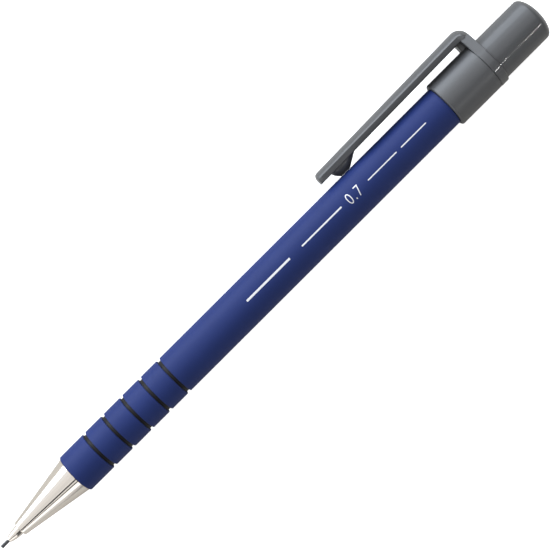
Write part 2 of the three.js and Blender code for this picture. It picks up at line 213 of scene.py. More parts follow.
def soften(corners, steps=5):
    """A profile from (s, radius, fillet) corners: each corner with a fillet becomes an arc, with a point just
    outside each of its ends so that the shading of the flats stays even."""
    profile = []
    for k, (s, r, fillet) in enumerate(corners):
        here = Vector((s, r))
        if fillet == 0:
            profile.append((s, r))
            continue
        before = Vector(corners[k - 1][:2]) - here
        after = Vector(corners[(k + 1) % len(corners)][:2]) - here
        half = before.angle(after) / 2
        reach = min(fillet / math.tan(half), 0.49 * before.length, 0.49 * after.length)
        radius = reach * math.tan(half)
        u, v = before.normalized(), after.normalized()
        centre = here + (u + v).normalized() * (radius / math.sin(half))
        start, end = here + u * reach - centre, here + v * reach - centre
        turn_angle = start.angle(end)
        margin = min(0.05, 0.1 * reach)
        profile.append(tuple(here + u * (reach + margin)))
        count = max(2, round(steps * turn_angle / (math.pi / 2)))
        for i in range(count + 1):
            share = i / count
            a = math.sin((1 - share) * turn_angle) / math.sin(turn_angle)
            b = math.sin(share * turn_angle) / math.sin(turn_angle)
            profile.append(tuple(centre + start * a + end * b))
        profile.append(tuple(here + v * (reach + margin)))
    return profile


def turn(name, profile, material, sides, relief=None):
    """A piece turned on the pencil's axis. The profile is (s, radius) points that run round the section with
    the outside towards the button; relief(s, radius, angle) is taken off the radius."""
    points, rings = [], []
    for s, r in profile:
        if r == 0:
            rings.append([len(points)] * sides)
            points.append((s, 0, 0))
            continue
        rings.append(list(range(len(points), len(points) + sides)))
        for i in range(sides):
            angle = 2 * math.pi * i / sides
            radius = r - (relief(s, r, angle) if relief else 0)
            points.append((s, radius * math.cos(angle), radius * math.sin(angle)))
    faces = []
    for a, b in zip(rings, rings[1:] + rings[:1]):
        for i in range(sides):
            j = (i + 1) % sides
            face = list(dict.fromkeys((a[i], a[j], b[j], b[i])))
            if len(face) > 2:
                faces.append(face)
    return make_piece(name, points, faces, material)


def loft(name, sections, material):
    """A closed skin over sections that all have the same number of points."""
    count = len(sections[0])
    points = [point for section in sections for point in section]
    faces = []
    for k in range(len(sections) - 1):
        for i in range(count):
            a, b = k * count + i, k * count + (i + 1) % count
            faces.append((a, b, b + count, a + count))
    faces.append(tuple(range(count - 1, -1, -1)))
    faces.append(tuple(range((len(sections) - 1) * count, len(sections) * count)))
    return make_piece(name, points, faces, material)


def combine(base, other, operation):
    """Joins or cuts the base with another closed mesh, and takes the other away."""
    modifier = base.modifiers.new("combine", "BOOLEAN")
    modifier.operation = operation
    modifier.solver = "EXACT"
    modifier.object = other
    depsgraph = bpy.context.evaluated_depsgraph_get()
    result = bpy.data.meshes.new_from_object(base.evaluated_get(depsgraph), depsgraph=depsgraph)
    base.modifiers.clear()
    base.data = result
    bpy.data.objects.remove(other)


def ogive(start, end, steps):
    """Points of the arc that rises from one point of a profile to another and runs level at its end."""
    (s0, r0), (s1, r1) = start, end
    radius = ((s1 - s0) ** 2 + (r1 - r0) ** 2) / (2 * (r1 - r0))
    points = []
    for i in range(steps + 1):
        s = s0 + (s1 - s0) * i / steps
        points.append((s, r1 - radius + math.sqrt(radius**2 - (s1 - s) ** 2)))
    return points


def fit(piece, body, slot, *nodes):
    """Puts a finished piece in the frame: what it rides on, and the nodes that it stands for. The slot, for
    its finish, is not used.
    """
    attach(piece, body)
    if nodes:
        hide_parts(*nodes)


# ---------- Finishes ----------


def grain(tree, shader, size_mm, depth_mm):
    """A fine even relief on a surface: noise of one real size and depth as a bump. Returns the sockets of the
    piece's own coordinates and of the noise."""
    coordinates = add_node(tree, "ShaderNodeTexCoord").outputs["Object"]
    scale = 1 / (size_mm * MM)
    noise = add_node(tree, "ShaderNodeTexNoise", inputs={"Vector": coordinates, "Scale": scale})
    height = noise.outputs["Fac"]
    bump = add_node(tree, "ShaderNodeBump", inputs={"Height": height, "Distance": depth_mm * MM})
    tree.links.new(bump.outputs["Normal"], shader.inputs["Normal"])
    return coordinates, height


def patches(tree, shader, rgb, coordinates, size_mm, detail, dark, light):
    """Soft patches of a darker and a lighter shade of the colour, of one real size. Returns their socket."""
    scale = 1 / (size_mm * MM)
    cloud = add_node(
        tree, "ShaderNodeTexNoise", inputs={"Vector": coordinates, "Scale": scale, "Detail": detail}
    ).outputs["Fac"]
    shades = {"Factor": cloud, "A": shaded(rgb, dark), "B": shaded(rgb, light)}
    mix = add_node(tree, "ShaderNodeMix", {"data_type": "RGBA"}, shades)
    tree.links.new(mix.outputs["Result"], shader.inputs["Base Color"])
    return cloud


def drawn_lines(tree, shader, long_mm, wide_mm, depth_mm):
    """Fine lines along the pencil, as a die leaves them, of a real length, width and depth. Returns their
    socket."""
    coordinates = add_node(tree, "ShaderNodeTexCoord").outputs["Object"]
    across = 1 / (wide_mm * MM)
    scale = (1 / (long_mm * MM), across, across)
    stretch = add_node(tree, "ShaderNodeMapping", inputs={"Vector": coordinates, "Scale": scale})
    noise = add_node(
        tree, "ShaderNodeTexNoise", inputs={"Vector": stretch.outputs["Vector"], "Scale": 1.0}
    )
    lines = noise.outputs["Fac"]
    bump = add_node(tree, "ShaderNodeBump", inputs={"Height": lines, "Distance": depth_mm * MM})
    tree.links.new(bump.outputs["Normal"], shader.inputs["Normal"])
    return lines


def soft_touch_rubber(rgb):
    """Soft-touch rubber, moulded with a fine blasted skin: nearly matte, with a broad weak sheen and small
    uneven patches where fingers have polished it."""
    material, tree, shader = new_material(
        "soft_touch_rubber", {"Roughness": 0.5, "IOR": 1.5, "Specular IOR Level": 0.15}
    )
    # The blasted grain is about 0.05 mm across. It is drawn at 0.22 mm, so that it shows.
    coordinates, noise = grain(tree, shader, 0.22, 0.006)
    patches(tree, shader, rgb, coordinates, 6, 3.0, 0.9, 1.1)
    speck = add_node(
        tree,
        "ShaderNodeMapRange",
        inputs={"Value": noise, "From Min": 0.3, "From Max": 0.7, "To Min": 0.46, "To Max": 0.56},
    )
    tree.links.new(speck.outputs["Result"], shader.inputs["Roughness"])
    return material


def moulded_abs(name, rgb, roughness, polish=0.0, specular=0.5):
    """ABS moulded in a spark-eroded tool: an even satin with a soft edge to its reflections. The polish is a
    weak sharp gloss on top, as handling gives it."""
    material, tree, shader = new_material(
        name,
        {
            "IOR": 1.54,
            "Base Color": rgba(rgb),
            "Roughness": roughness,
            "Specular IOR Level": specular,
            "Coat Weight": polish,
            "Coat Roughness": 0.05,
        },
    )
    # Spark erosion leaves pits of about 0.03 mm. They are drawn at 0.2 mm, so that they show.
    coordinates, _ = grain(tree, shader, 0.2, 0.002)
    cloud = patches(tree, shader, rgb, coordinates, 4, 2.0, 0.96, 1.04)
    gloss = add_node(
        tree,
        "ShaderNodeMapRange",
        inputs={"Value": cloud, "To Min": roughness * 0.92, "To Max": roughness * 1.08},
    )
    tree.links.new(gloss.outputs["Result"], shader.inputs["Roughness"])
    return material


def turned_metal(name, rgb, roughness, line_mm, depth_mm):
    """Metal turned on a lathe: fine rings round the axis that blur reflections along it."""
    material, tree, shader = new_material(
        name, {"Metallic": 1.0, "Base Color": rgba(rgb), "Roughness": roughness}
    )
    coordinates = add_node(tree, "ShaderNodeTexCoord").outputs["Object"]
    parts = add_node(tree, "ShaderNodeSeparateXYZ", inputs={"Vector": coordinates})
    rings = add_node(
        tree,
        "ShaderNodeTexNoise",
        {"noise_dimensions": "1D"},
        {"W": parts.outputs["X"], "Scale": 1 / (line_mm * MM), "Detail": 3.0, "Roughness": 0.6},
    )
    bump = add_node(
        tree, "ShaderNodeBump", inputs={"Height": rings.outputs["Fac"], "Distance": depth_mm * MM}
    )
    blur = add_node(
        tree,
        "ShaderNodeMapRange",
        inputs={"Value": rings.outputs["Fac"], "To Min": roughness * 0.7, "To Max": roughness * 1.4},
    )
    tree.links.new(bump.outputs["Normal"], shader.inputs["Normal"])
    tree.links.new(blur.outputs["Result"], shader.inputs["Roughness"])
    return material


def drawn_metal(name, rgb, roughness):
    """Metal drawn through a die: streaks along the piece."""
    material, tree, shader = new_material(
        name, {"Metallic": 1.0, "Base Color": rgba(rgb), "Roughness": roughness}
    )
    streaks = drawn_lines(tree, shader, 6.67, 0.083, 0.002)
    blur = add_node(
        tree,
        "ShaderNodeMapRange",
        inputs={"Value": streaks, "To Min": roughness * 0.7, "To Max": roughness * 1.3},
    )
    tree.links.new(blur.outputs["Result"], shader.inputs["Roughness"])
    return material


def graphite_lead(rgb):
    """Extruded polymer graphite: dark grey with a dull metallic glint along fine drawing lines."""
    material, tree, shader = new_material(
        "extruded_graphite", {"Metallic": 0.2, "Roughness": 0.42, "IOR": 1.6, "Base Color": rgba(rgb)}
    )
    lines = drawn_lines(tree, shader, 3.33, 0.05, 0.004)
    shades = {"Factor": lines, "A": shaded(rgb, 0.75), "B": shaded(rgb, 1.25)}
    mix = add_node(tree, "ShaderNodeMix", {"data_type": "RGBA"}, shades)
    tree.links.new(mix.outputs["Result"], shader.inputs["Base Color"])
    return material


def natural_polypropylene(rgb):
    """Unpigmented polypropylene, moulded: milky, with light that soaks in a little way."""
    material, tree, shader = new_material(
        "natural_polypropylene",
        {
            "Roughness": 0.35,
            "IOR": 1.49,
            "Base Color": rgba(rgb),
            "Subsurface Weight": 0.3,
            "Subsurface Scale": 0.8 * MM,
        },
    )
    grain(tree, shader, 0.4, 0.003)
    return material


def white_vinyl(rgb):
    """Plasticised vinyl eraser: matte white with a powdery grain and faint warm patches."""
    material, tree, shader = new_material("white_vinyl", {"Roughness": 0.75, "IOR": 1.5})
    coordinates, _ = grain(tree, shader, 0.15, 0.01)
    patches(tree, shader, rgb, coordinates, 2, 4.0, 0.93, 1.0)
    return material


def moulded_rubber(rgb):
    """Black nitrile rubber, moulded: matte with a slight bloom."""
    material, tree, shader = new_material(
        "moulded_black_rubber", {"Roughness": 0.7, "IOR": 1.5, "Base Color": rgba(rgb)}
    )
    grain(tree, shader, 0.1, 0.004)
    return material


def silver_ink(rgb):
    """Silver pad-printing ink: metallic flakes in lacquer, soft and a little broken up at its grain."""
    material, tree, shader = new_material(
        "silver_print", {"Metallic": 0.6, "Roughness": 0.45, "Base Color": rgba(rgb)}
    )
    # The flakes are about 0.02 mm across. They are drawn at 0.1 mm, so that they show.
    _, flakes = grain(tree, shader, 0.1, 0.003)
    shades = {"Factor": flakes, "A": shaded(rgb, 0.85), "B": shaded(rgb, 1.08)}
    mix = add_node(tree, "ShaderNodeMix", {"data_type": "RGBA"}, shades)
    tree.links.new(mix.outputs["Result"], shader.inputs["Base Color"])
    return material


def paper_sweep(name, rgb, glow):
    """Matte background paper, lit a little from behind: no gloss, and only the faintest tooth."""
    material, tree, shader = new_material(
        name,
        {
            "Roughness": 1.0,
            "Specular IOR Level": 0.0,
            "Base Color": rgba(rgb),
            "Emission Color": rgba(rgb),
            "Emission Strength": glow,
        },
    )
    grain(tree, shader, 0.8, 0.01)
    return material


# ---------- Nose and lead ----------


def thread_relief(sizes, first, last, radii, inner=False):
    """The depth of a right-hand thread at a place on a screw, on the surface between two radii. It fades out
    over half a turn at both ends."""
    pitch, depth = sizes.thread_pitch / MM, sizes.thread_depth / MM

    def relief(s, r, angle):
        if not (first < s < last and radii[0] < r < radii[1]):
            return 0
        # The flanks slope between a flat root and a flat crest.
        phase = (s / pitch - angle / (2 * math.pi)) % 1
        flank = min(max(1.7 * abs(2 * phase - 1) - 0.35, 0), 1)
        fade = min((s - first) / (pitch / 2), (last - s) / (pitch / 2), 1)
        return depth * (flank - 1 if inner else flank) * fade

    return relief


def rows(first, last, radius, step):
    """Points along a cylinder, close enough together to carry a thread."""
    count = round((last - first) / step)
    return [(first + (last - first) * i / count, radius) for i in range(count + 1)]


class PENCIL_OT_nose(bpy.types.Operator):
    """Builds the nickel-plated nose with its rounded tip stage and the threaded shank"""

    bl_idname = "pencil.nose"
    bl_label = "Nose"

    def execute(self, context):
        sizes, colours = context.scene.pencil_sizes, context.scene.pencil_colours
        plate = turned_metal("nickel_plated_brass", colours.nickel, 0.1, 0.12, 0.00012)
        start, shank_end, _ = span("nose_cone")
        lead_bore, stage_radius, stage_end = 0.4, 1.045, 4.88
        base, base_radius, slope = 19.64, 3.97, math.tan(math.radians(9.36))
        neck, crest = 2.75, 2.95  # the shank, before its thread and on it
        outside = [(start + 0.16, lead_bore), (start + 0.03, lead_bore + 0.04), (start, lead_bore + 0.08)]
        outside += ogive((start, lead_bore + 0.13), (4.5, stage_radius), 16)[1:]
        outside.append((4.8, stage_radius))
        cone = [
            (4.5, stage_radius, 0),
            (stage_end, stage_radius, 0.03),
            (stage_end, base_radius - (base - stage_end) * slope, 0.3),
            (base, base_radius, 0.1),
            (base, neck, 0),
        ]
        outside += soften(cone, 8)[1:]
        outside += [(20.44, neck), (20.64, crest), *rows(20.7, 24.2, crest, 0.05), (24.25, crest)]
        outside.append((shank_end, 2.6))
        inside = [(shank_end, 2.35), (13.2, 2.35), (13.2, 1.65), (9.05, 1.65), (9.05, 1.22)]
        inside += [(6.2, 1.22), (6.2, lead_bore)]
        relief = thread_relief(sizes, 20.66, 24.24, (crest - 0.05, crest + 0.05))
        piece = turn("nose", outside + inside, plate, sizes.sides, relief)
        fit(piece, "nose", "nickel_plate", "nose_cone")
        return {"FINISHED"}


class PENCIL_OT_leads(bpy.types.Operator):
    """Builds the lead in use, worn at its tip, and the two spare leads"""

    bl_idname = "pencil.leads"
    bl_label = "Leads"

    def execute(self, context):
        graphite = graphite_lead(context.scene.pencil_colours.graphite)
        start, end, radius = span("lead")
        worn = [(start, 0, 0), (start, 0.26, 0.08), (start + 0.14, radius, 0.05)]
        worn += [(end, radius, 0.02), (end, 0, 0)]
        piece = turn("lead_stick", soften(worn), graphite, SMALL_SIDES)
        fit(piece, "lead", "graphite", "lead")
        for k in (1, 2):
            start, end, radius = span(f"spare_lead_{k}")
            low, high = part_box(f"spare_lead_{k}")
            middle = (low + high) / 2
            whole = [(start, 0, 0), (start, radius, 0.02), (end, radius, 0.02), (end, 0, 0)]
            piece = turn(f"spare_stick_{k}", soften(whole), graphite, SMALL_SIDES)
            piece.location = (0, middle.y - AXIS.y, middle.z - AXIS.z)
            fit(piece, f"spare_lead_{k}", "graphite", f"spare_lead_{k}")
        return {"FINISHED"}


# ---------- Chuck, spring and tube ----------


def box_points(low, high):
    """The eight corners of a box, in the order that BOX_FACES takes."""
    return [(s, y, z) for s in (low[0], high[0]) for y in (low[1], high[1]) for z in (low[2], high[2])]


BOX_FACES = [(0, 1, 3, 2), (4, 6, 7, 5), (0, 4, 5, 1), (2, 3, 7, 6), (0, 2, 6, 4), (1, 5, 7, 3)]


class PENCIL_OT_chuck(bpy.types.Operator):
    """Builds the split brass chuck, its closing ring, the sleeve, the bush and the coupling"""

    bl_idname = "pencil.chuck"
    bl_label = "Chuck"

    def execute(self, context):
        colours = context.scene.pencil_colours
        brass = turned_metal("turned_brass", colours.brass, 0.22, 0.1, 0.0004)
        black = moulded_abs("sleeve_black_abs", colours.black, 0.4)
        natural = natural_polypropylene(colours.natural)
        bush = moulded_rubber(colours.bush)

        start, end, widest = span("chuck")
        grip, stem, bore = 0.36, 1.1, 0.6  # radii of the jaws' hold on the lead, of the stem and inside it
        wedge_start, wedge_end = 13.6, 15.4
        jaws = [(start, grip, 0), (start, 1.15, 0), (12.95, widest, 0.08), (wedge_start, widest, 0.12)]
        jaws += [(wedge_end, stem, 0.3), (end, stem, 0.08), (end, bore, 0), (15.6, bore, 0), (15.0, grip, 0)]
        chuck = turn("chuck_jaws", soften(jaws), brass, 72)
        slit = 0.3
        for k in range(3):
            saw = make_piece("saw", box_points((10, 0, -slit / 2), (24, 2, slit / 2)), BOX_FACES, brass)
            turned = Matrix.Rotation(2 * math.pi * k / 3 + math.pi / 2, 4, "X")
            saw.data.transform(Matrix.Translation(AXIS) @ turned @ Matrix.Translation(-AXIS))
            combine(chuck, saw, "DIFFERENCE")
        chuck.data.set_sharp_from_angle(angle=SHARP)
        fit(chuck, "pusher", "brass", "chuck")

        start, end, radius = span("chuck_ring")
        clearance = 0.05
        slope = (widest - stem) / (wedge_end - wedge_start)
        mouth = widest - slope * (start - wedge_start) + clearance
        throat = stem + clearance
        ring = [(start, mouth, 0.02), (start, radius, 0.25), (end, radius, 0.25), (end, throat, 0)]
        ring.append((wedge_end, throat, 0))
        fit(turn("closing_ring", soften(ring), brass, INNER_SIDES), "closing_ring", "brass", "chuck_ring")

        start, end, flange = span("chuck_sleeve")
        outside, bore, spring_bore, seat = 2.3, 1.2, 1.95, 19.4
        sleeve = [(start, bore, 0), (start, outside, 0.1), (24.7, outside, 0), (24.7, flange, 0.08)]
        sleeve += [(25.7, flange, 0.08), (25.7, outside, 0), (end, outside, 0.1), (end, spring_bore, 0)]
        sleeve += [(seat, spring_bore, 0), (seat, bore, 0)]
        piece = turn("spring_sleeve", soften(sleeve), black, INNER_SIDES)
        fit(piece, "barrel", "black_plastic", "chuck_sleeve")

        start, end, radius = span("chuck_coupling")
        socket, socket_end, shoulder, spigot, bore = 1.12, 35.02, 36, 1.63, 0.6
        coupling = [(start, socket, 0), (start, radius, 0.1), (shoulder, radius, 0.1), (shoulder, spigot, 0)]
        coupling += [(end, spigot, 0.15), (end, bore, 0), (socket_end, bore, 0), (socket_end, socket, 0)]
        piece = turn("coupling", soften(coupling), natural, INNER_SIDES)
        fit(piece, "pusher", "natural_plastic", "chuck_coupling")

        start, end, radius = span("lead_retainer")
        bore = 0.36
        retainer = [(start, bore, 0), (start, radius, 0.1), (end, radius, 0.2), (end, bore, 0)]
        fit(turn("lead_bush", soften(retainer), bush, 72), "nose_travel", "black_rubber", "lead_retainer")
        return {"FINISHED"}


class PENCIL_OT_spring(bpy.types.Operator):
    """Winds the return spring with closed ends"""

    bl_idname = "pencil.spring"
    bl_label = "Return spring"

    def execute(self, context):
        start, end, coil, wire, turns, dead = 19.45, 31.95, 1.55, 0.2, 10, 1.2
        steps, sides = turns * 48, 14
        lie = wire * 2.1  # from one closed turn to the next
        open_length = end - start - 2 * wire - 2 * dead * lie

        def centre(t):
            turned = t * turns
            front, rear = min(turned, dead), max(turned - (turns - dead), 0)
            middle = (turned - front - rear) / (turns - 2 * dead)
            angle = turned * 2 * math.pi
            s = start + wire + (front + rear) * lie + middle * open_length
            return Vector((s, coil * math.cos(angle), coil * math.sin(angle)))

        sections, nudge = [], 1e-4
        for k in range(steps + 1):
            t = k / steps
            ahead = (centre(min(t + nudge, 1)) - centre(max(t - nudge, 0))).normalized()
            out = Vector((0, centre(t).y, centre(t).z)).normalized()
            side = ahead.cross(out).normalized()
            across = side.cross(ahead)
            ring = []
            for i in range(sides):
                angle = 2 * math.pi * i / sides
                outward = across * math.cos(angle) + side * math.sin(angle)
                ring.append(tuple(centre(t) + outward * wire))
            sections.append(ring)
        steel = drawn_metal("drawn_spring_steel", context.scene.pencil_colours.steel, 0.25)
        piece = loft("spring_coil", sections, steel)
        fit(piece, "barrel", "spring_steel", "return_spring")
        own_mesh(piece)
        return {"FINISHED"}


class PENCIL_OT_tube(bpy.types.Operator):
    """Builds the lead tube, the eraser and its ferrule"""

    bl_idname = "pencil.tube"
    bl_label = "Lead tube and eraser"

    def execute(self, context):
        sizes, colours = context.scene.pencil_sizes, context.scene.pencil_colours
        natural = natural_polypropylene(colours.natural)
        start, end, cup = span("lead_tube")
        outside, bore, cup_start, cup_bore = 2.1, 1.65, 129.5, 2.55
        tube = [(start, bore, 0), (start, outside, 0.1), (128, outside, 0.4), (cup_start, cup, 0.3)]
        tube += [(end, cup, 0.15), (end, cup_bore, 0.1), (cup_start, cup_bore, 0), (cup_start, bore, 0)]
        piece = turn("lead_reservoir", soften(tube), natural, sizes.sides)
        fit(piece, "pusher", "natural_plastic", "lead_tube")

        can = drawn_metal("drawn_aluminium", colours.aluminium, 0.25)
        start, end, radius = span("eraser_ferrule")
        inside, floor, lip = radius - 0.2, start + 0.2, radius - 0.12
        ferrule = [(start, 0, 0), (start, radius, 0.2), (end - 0.24, radius, 0.05), (end, lip, 0.05)]
        ferrule += [(end, inside, 0.03), (floor, inside, 0), (floor, 0, 0)]
        piece = turn("eraser_can", soften(ferrule), can, INNER_SIDES)
        fit(piece, "eraser_unit", "aluminium", "eraser_ferrule")

        vinyl = white_vinyl(colours.vinyl)
        start, end, radius = span("eraser")
        rubber = [(start, 0, 0), (start, radius, 0.1), (end, radius, 0.5), (end, 0, 0)]
        piece = turn("eraser_plug", soften(rubber, 8), vinyl, INNER_SIDES)
        fit(piece, "eraser_unit", "white_vinyl", "eraser")
        return {"FINISHED"}


# ---------- Barrel ----------


class PENCIL_OT_barrel(bpy.types.Operator):
    """Builds the black core, the five rubber grip bands and the long rubber sleeve"""

    bl_idname = "pencil.barrel"
    bl_label = "Barrel and grip"

    def execute(self, context):
        sizes, colours = context.scene.pencil_sizes, context.scene.pencil_colours
        black = moulded_abs("core_black_abs", colours.black, 0.5, specular=0.2)
        rubber = soft_touch_rubber(colours.rubber)
        start, end, radius = span("barrel_core")
        thread, bore = 3.05, 2.75
        core = soften([(start, thread, 0), (start, radius, 0.08), (end, radius, 0.1), (end, bore, 0)])
        core += [(27.4, bore), (27.4, 2.35), (25.8, 2.35), *reversed(rows(19.75, 25.75, thread, 0.06))]
        relief = thread_relief(sizes, 19.9, 25.4, (thread - 0.05, thread + 0.05), inner=True)
        piece = turn("barrel_tube", core, black, sizes.sides, relief)
        fit(piece, "barrel", "black_plastic", "barrel_core")

        bore, edge, front_edge = radius + 0.02, sizes.band_edge / MM, 0.2
        half, pitch, first_groove = sizes.groove_width / MM / 2, sizes.groove_pitch / MM, 26.155
        start = span("grip_band_1")[0]
        for k in range(5):
            end = first_groove + pitch * k - half
            band = [(start, bore, 0), (start, SKIN_RADIUS, front_edge)]
            band += [(end, SKIN_RADIUS, edge), (end, bore, 0)]
            piece = turn(f"rubber_band_{k + 1}", soften(band), rubber, sizes.sides)
            fit(piece, "barrel", "blue_rubber", f"grip_band_{k + 1}")
            start, front_edge = end + 2 * half, edge
        end = span("barrel_sleeve")[1]
        skin = [(start, bore, 0), (start, SKIN_RADIUS, edge), (end, SKIN_RADIUS, 0.1), (end, bore, 0)]
        piece = turn("rubber_sleeve", soften(skin), rubber, sizes.sides)
        fit(piece, "barrel", "blue_rubber", "barrel_sleeve")
        return {"FINISHED"}


# The print: how far round the barrel its middle lies, the film of ink, and each rule's start, end and width.
PRINT_MIDDLE = 0.22
FILM_LIFT, FILM_THICKNESS, FILM_STRIP = 0.002, 0.01, 0.15
RULES = [(65.7, 77.0, 0.42), (80.2, 90.6, 0.3), (97.6, 105.1, 0.22), (106.3, 112.8, 0.22)]


def wrapped(name, outline, material):
    """A thin film of ink on the barrel from a flat bmesh, whose x runs along the pencil and y round it. It is
    cut into strips first, so that it bends with the barrel."""
    for step in range(-12, 13):
        bmesh.ops.bisect_plane(
            outline,
            geom=outline.verts[:] + outline.edges[:] + outline.faces[:],
            plane_co=(0, step * FILM_STRIP, 0),
            plane_no=(0, 1, 0),
        )
    outline.verts.ensure_lookup_table()
    points, faces = [], []
    underside = SKIN_RADIUS + FILM_LIFT
    for radius in (underside, underside + FILM_THICKNESS):
        for vertex in outline.verts:
            angle = vertex.co.y / SKIN_RADIUS
            points.append((vertex.co.x, radius * math.sin(angle), radius * math.cos(angle)))
    count = len(outline.verts)
    for face in outline.faces:
        ring = [vertex.index for vertex in face.verts]
        faces.append([i + count for i in ring])
        faces.append(ring[::-1])
    for edge in outline.edges:
        if len(edge.link_faces) == 1:
            loop = next(loop for loop in edge.link_faces[0].loops if loop.edge == edge)
            a, b = loop.vert.index, loop.link_loop_next.vert.index
            faces.append([a, b, b + count, a + count])
    outline.free()
    return make_piece(name, points, faces, material)


def rule_outline(start, end, width):
    """A plain printed rule along the barrel."""
    outline = bmesh.new()
    corners = [(start, -width / 2), (end, -width / 2), (end, width / 2), (start, width / 2)]
    outline.faces.new([outline.verts.new((s, PRINT_MIDDLE + y, 0)) for s, y in corners])
    return outline


class PENCIL_OT_print(bpy.types.Operator):
    """Prints the lead size and plain rules along the barrel"""

    bl_idname = "pencil.print"
    bl_label = "Printed marks"

    def execute(self, context):
        sizes, colours = context.scene.pencil_sizes, context.scene.pencil_colours
        ink = silver_ink(colours.ink)
        curve = bpy.data.curves.new("size_mark", "FONT")
        curve.body = sizes.mark_text
        curve.resolution_u = 6
        curve.offset = -0.012  # thins the strokes
        curve.space_character = 1.2
        writer = add_object("size_mark", curve)
        depsgraph = context.evaluated_depsgraph_get()
        flat = bpy.data.meshes.new_from_object(writer.evaluated_get(depsgraph))
        outline = bmesh.new()
        outline.from_mesh(flat)
        bpy.data.objects.remove(writer)
        bmesh.ops.remove_doubles(outline, verts=outline.verts, dist=1e-5)
        low = [min(vertex.co[i] for vertex in outline.verts) for i in (0, 1)]
        high = [max(vertex.co[i] for vertex in outline.verts) for i in (0, 1)]
        wide = sizes.mark_length / MM / (high[0] - low[0])
        tall = sizes.mark_height / MM / (high[1] - low[1])
        for vertex in outline.verts:
            s = sizes.mark_start / MM + (vertex.co.x - low[0]) * wide
            vertex.co = (s, (vertex.co.y - (low[1] + high[1]) / 2) * tall + PRINT_MIDDLE, 0)
        fit(wrapped("lead_size_mark", outline, ink), "barrel", "blue_rubber")
        for k, (start, end, width) in enumerate(RULES, 1):
            piece = wrapped(f"printed_rule_{k}", rule_outline(start, end, width), ink)
            fit(piece, "barrel", "blue_rubber")
        return {"FINISHED"}


class PENCIL_OT_collar(bpy.types.Operator):
    """Builds the grey collar at the barrel's rear end"""

    bl_idname = "pencil.collar"
    bl_label = "Collar"

    def execute(self, context):
        sizes, colours = context.scene.pencil_sizes, context.scene.pencil_colours
        grey = moulded_abs("collar_grey_abs", colours.trim, 0.4)
        start, end, radius = span("collar")
        core_bore, button_bore, step = 3.88, 4.72, 123.95
        collar = [(start, core_bore, 0), (start, radius, 0.38), (end, radius, 0.1)]
        collar += [(end, button_bore, 0.05), (step, button_bore, 0), (step, core_bore, 0)]
        piece = turn("rear_collar", soften(collar, 8), grey, sizes.sides)
        fit(piece, "barrel", "grey_plastic", "collar")
        return {"FINISHED"}


# ---------- Clip ----------

# The arm from its free end to its root on the bridge: place along the pencil, height of its inner face over
# the axis, half width and thickness.
ARM_END, ARM_ROOT = 91.15, 128.35
END_HEIGHT, ROOT_HEIGHT = 5.86, 6.42
END_HALF, ROOT_HALF = 2.7, 2.97
END_THICK, ROOT_THICK, ROLL_THICK = 2.22, 2.42, 2.44
ARM_SLOPE = math.degrees(math.atan((ROOT_HEIGHT - END_HEIGHT) / (ARM_ROOT - ARM_END)))
ARM_SIDE, ARM_DRAFT, ARM_FOOT = 1.12, 0.17, 0.16  # its flat sides: height, lean and rounding at the foot

# The ring between collar and button, and the bridge that stands on it.
RING_FRONT, RING_REAR, RING_RADIUS, RING_BORE = 128.42, 130.3, 5.06, 4.72
BRIDGE_REAR, BRIDGE_HALF, BRIDGE_TOP = 130.4, 2.78, 6.45


def arm_section(s, y, direction, half_width, thickness):
    """One section of the arm: flat inside, short sides that lean out, a crowned outside and rounded edges."""
    side = min(ARM_SIDE, thickness - 0.1)
    rise = thickness - side
    crown = (half_width**2 + rise**2) / (2 * rise)
    spread = math.asin(half_width / crown)
    right_foot = []
    for i in range(5):
        angle = math.pi / 2 * i / 4
        z = half_width - ARM_DRAFT - ARM_FOOT + ARM_FOOT * math.sin(angle)
        right_foot.append((z, ARM_FOOT - ARM_FOOT * math.cos(angle)))
    crown_line = []
    steps, ease = 20, 0.17
    for i in range(steps + 1):
        angle = spread * (1 - 2 * i / steps) * (1 - ease / half_width)
        crown_line.append((crown * math.sin(angle), thickness - crown + crown * math.cos(angle)))
    right = [(half_width, side - 0.12), (half_width - 0.015, side - 0.05), (half_width - 0.06, side - 0.01)]
    left = [(-z, v) for z, v in reversed(right)]
    outline = [(-z, v) for z, v in reversed(right_foot)] + right_foot + right + crown_line + left
    turn_to = math.radians(direction)
    return [(s - v * math.sin(turn_to), y + v * math.cos(turn_to), z) for z, v in outline]


def arm_sections():
    """The arm from its rounded free end along the barrel and over the bridge in a quarter turn."""

    def at(s, thickness):
        share = (s - ARM_END) / (ARM_ROOT - ARM_END)
        half = END_HALF + (ROOT_HALF - END_HALF) * share
        height = END_HEIGHT + (ROOT_HEIGHT - END_HEIGHT) * share
        return arm_section(s, height, ARM_SLOPE, half, thickness)

    sections = []
    rounding, end_steps, arm_steps, roll_steps = 0.85, 8, 25, 16
    centre = ARM_END + rounding
    for i in range(end_steps + 1):
        angle = math.pi * (1 - i / end_steps / 2)
        thickness = END_THICK - rounding + rounding * math.sin(angle)
        sections.append(at(centre + rounding * math.cos(angle), thickness))
    for i in range(1, arm_steps):
        share = i / arm_steps
        thickness = END_THICK + (ROOT_THICK - END_THICK) * share
        sections.append(at(centre + (ARM_ROOT - centre) * share, thickness))
    for i in range(roll_steps + 1):
        direction = ARM_SLOPE - (90 + ARM_SLOPE) * i / roll_steps
        sections.append(arm_section(ARM_ROOT, ROOT_HEIGHT - 0.02, direction, ROOT_HALF, ROLL_THICK))
    return sections


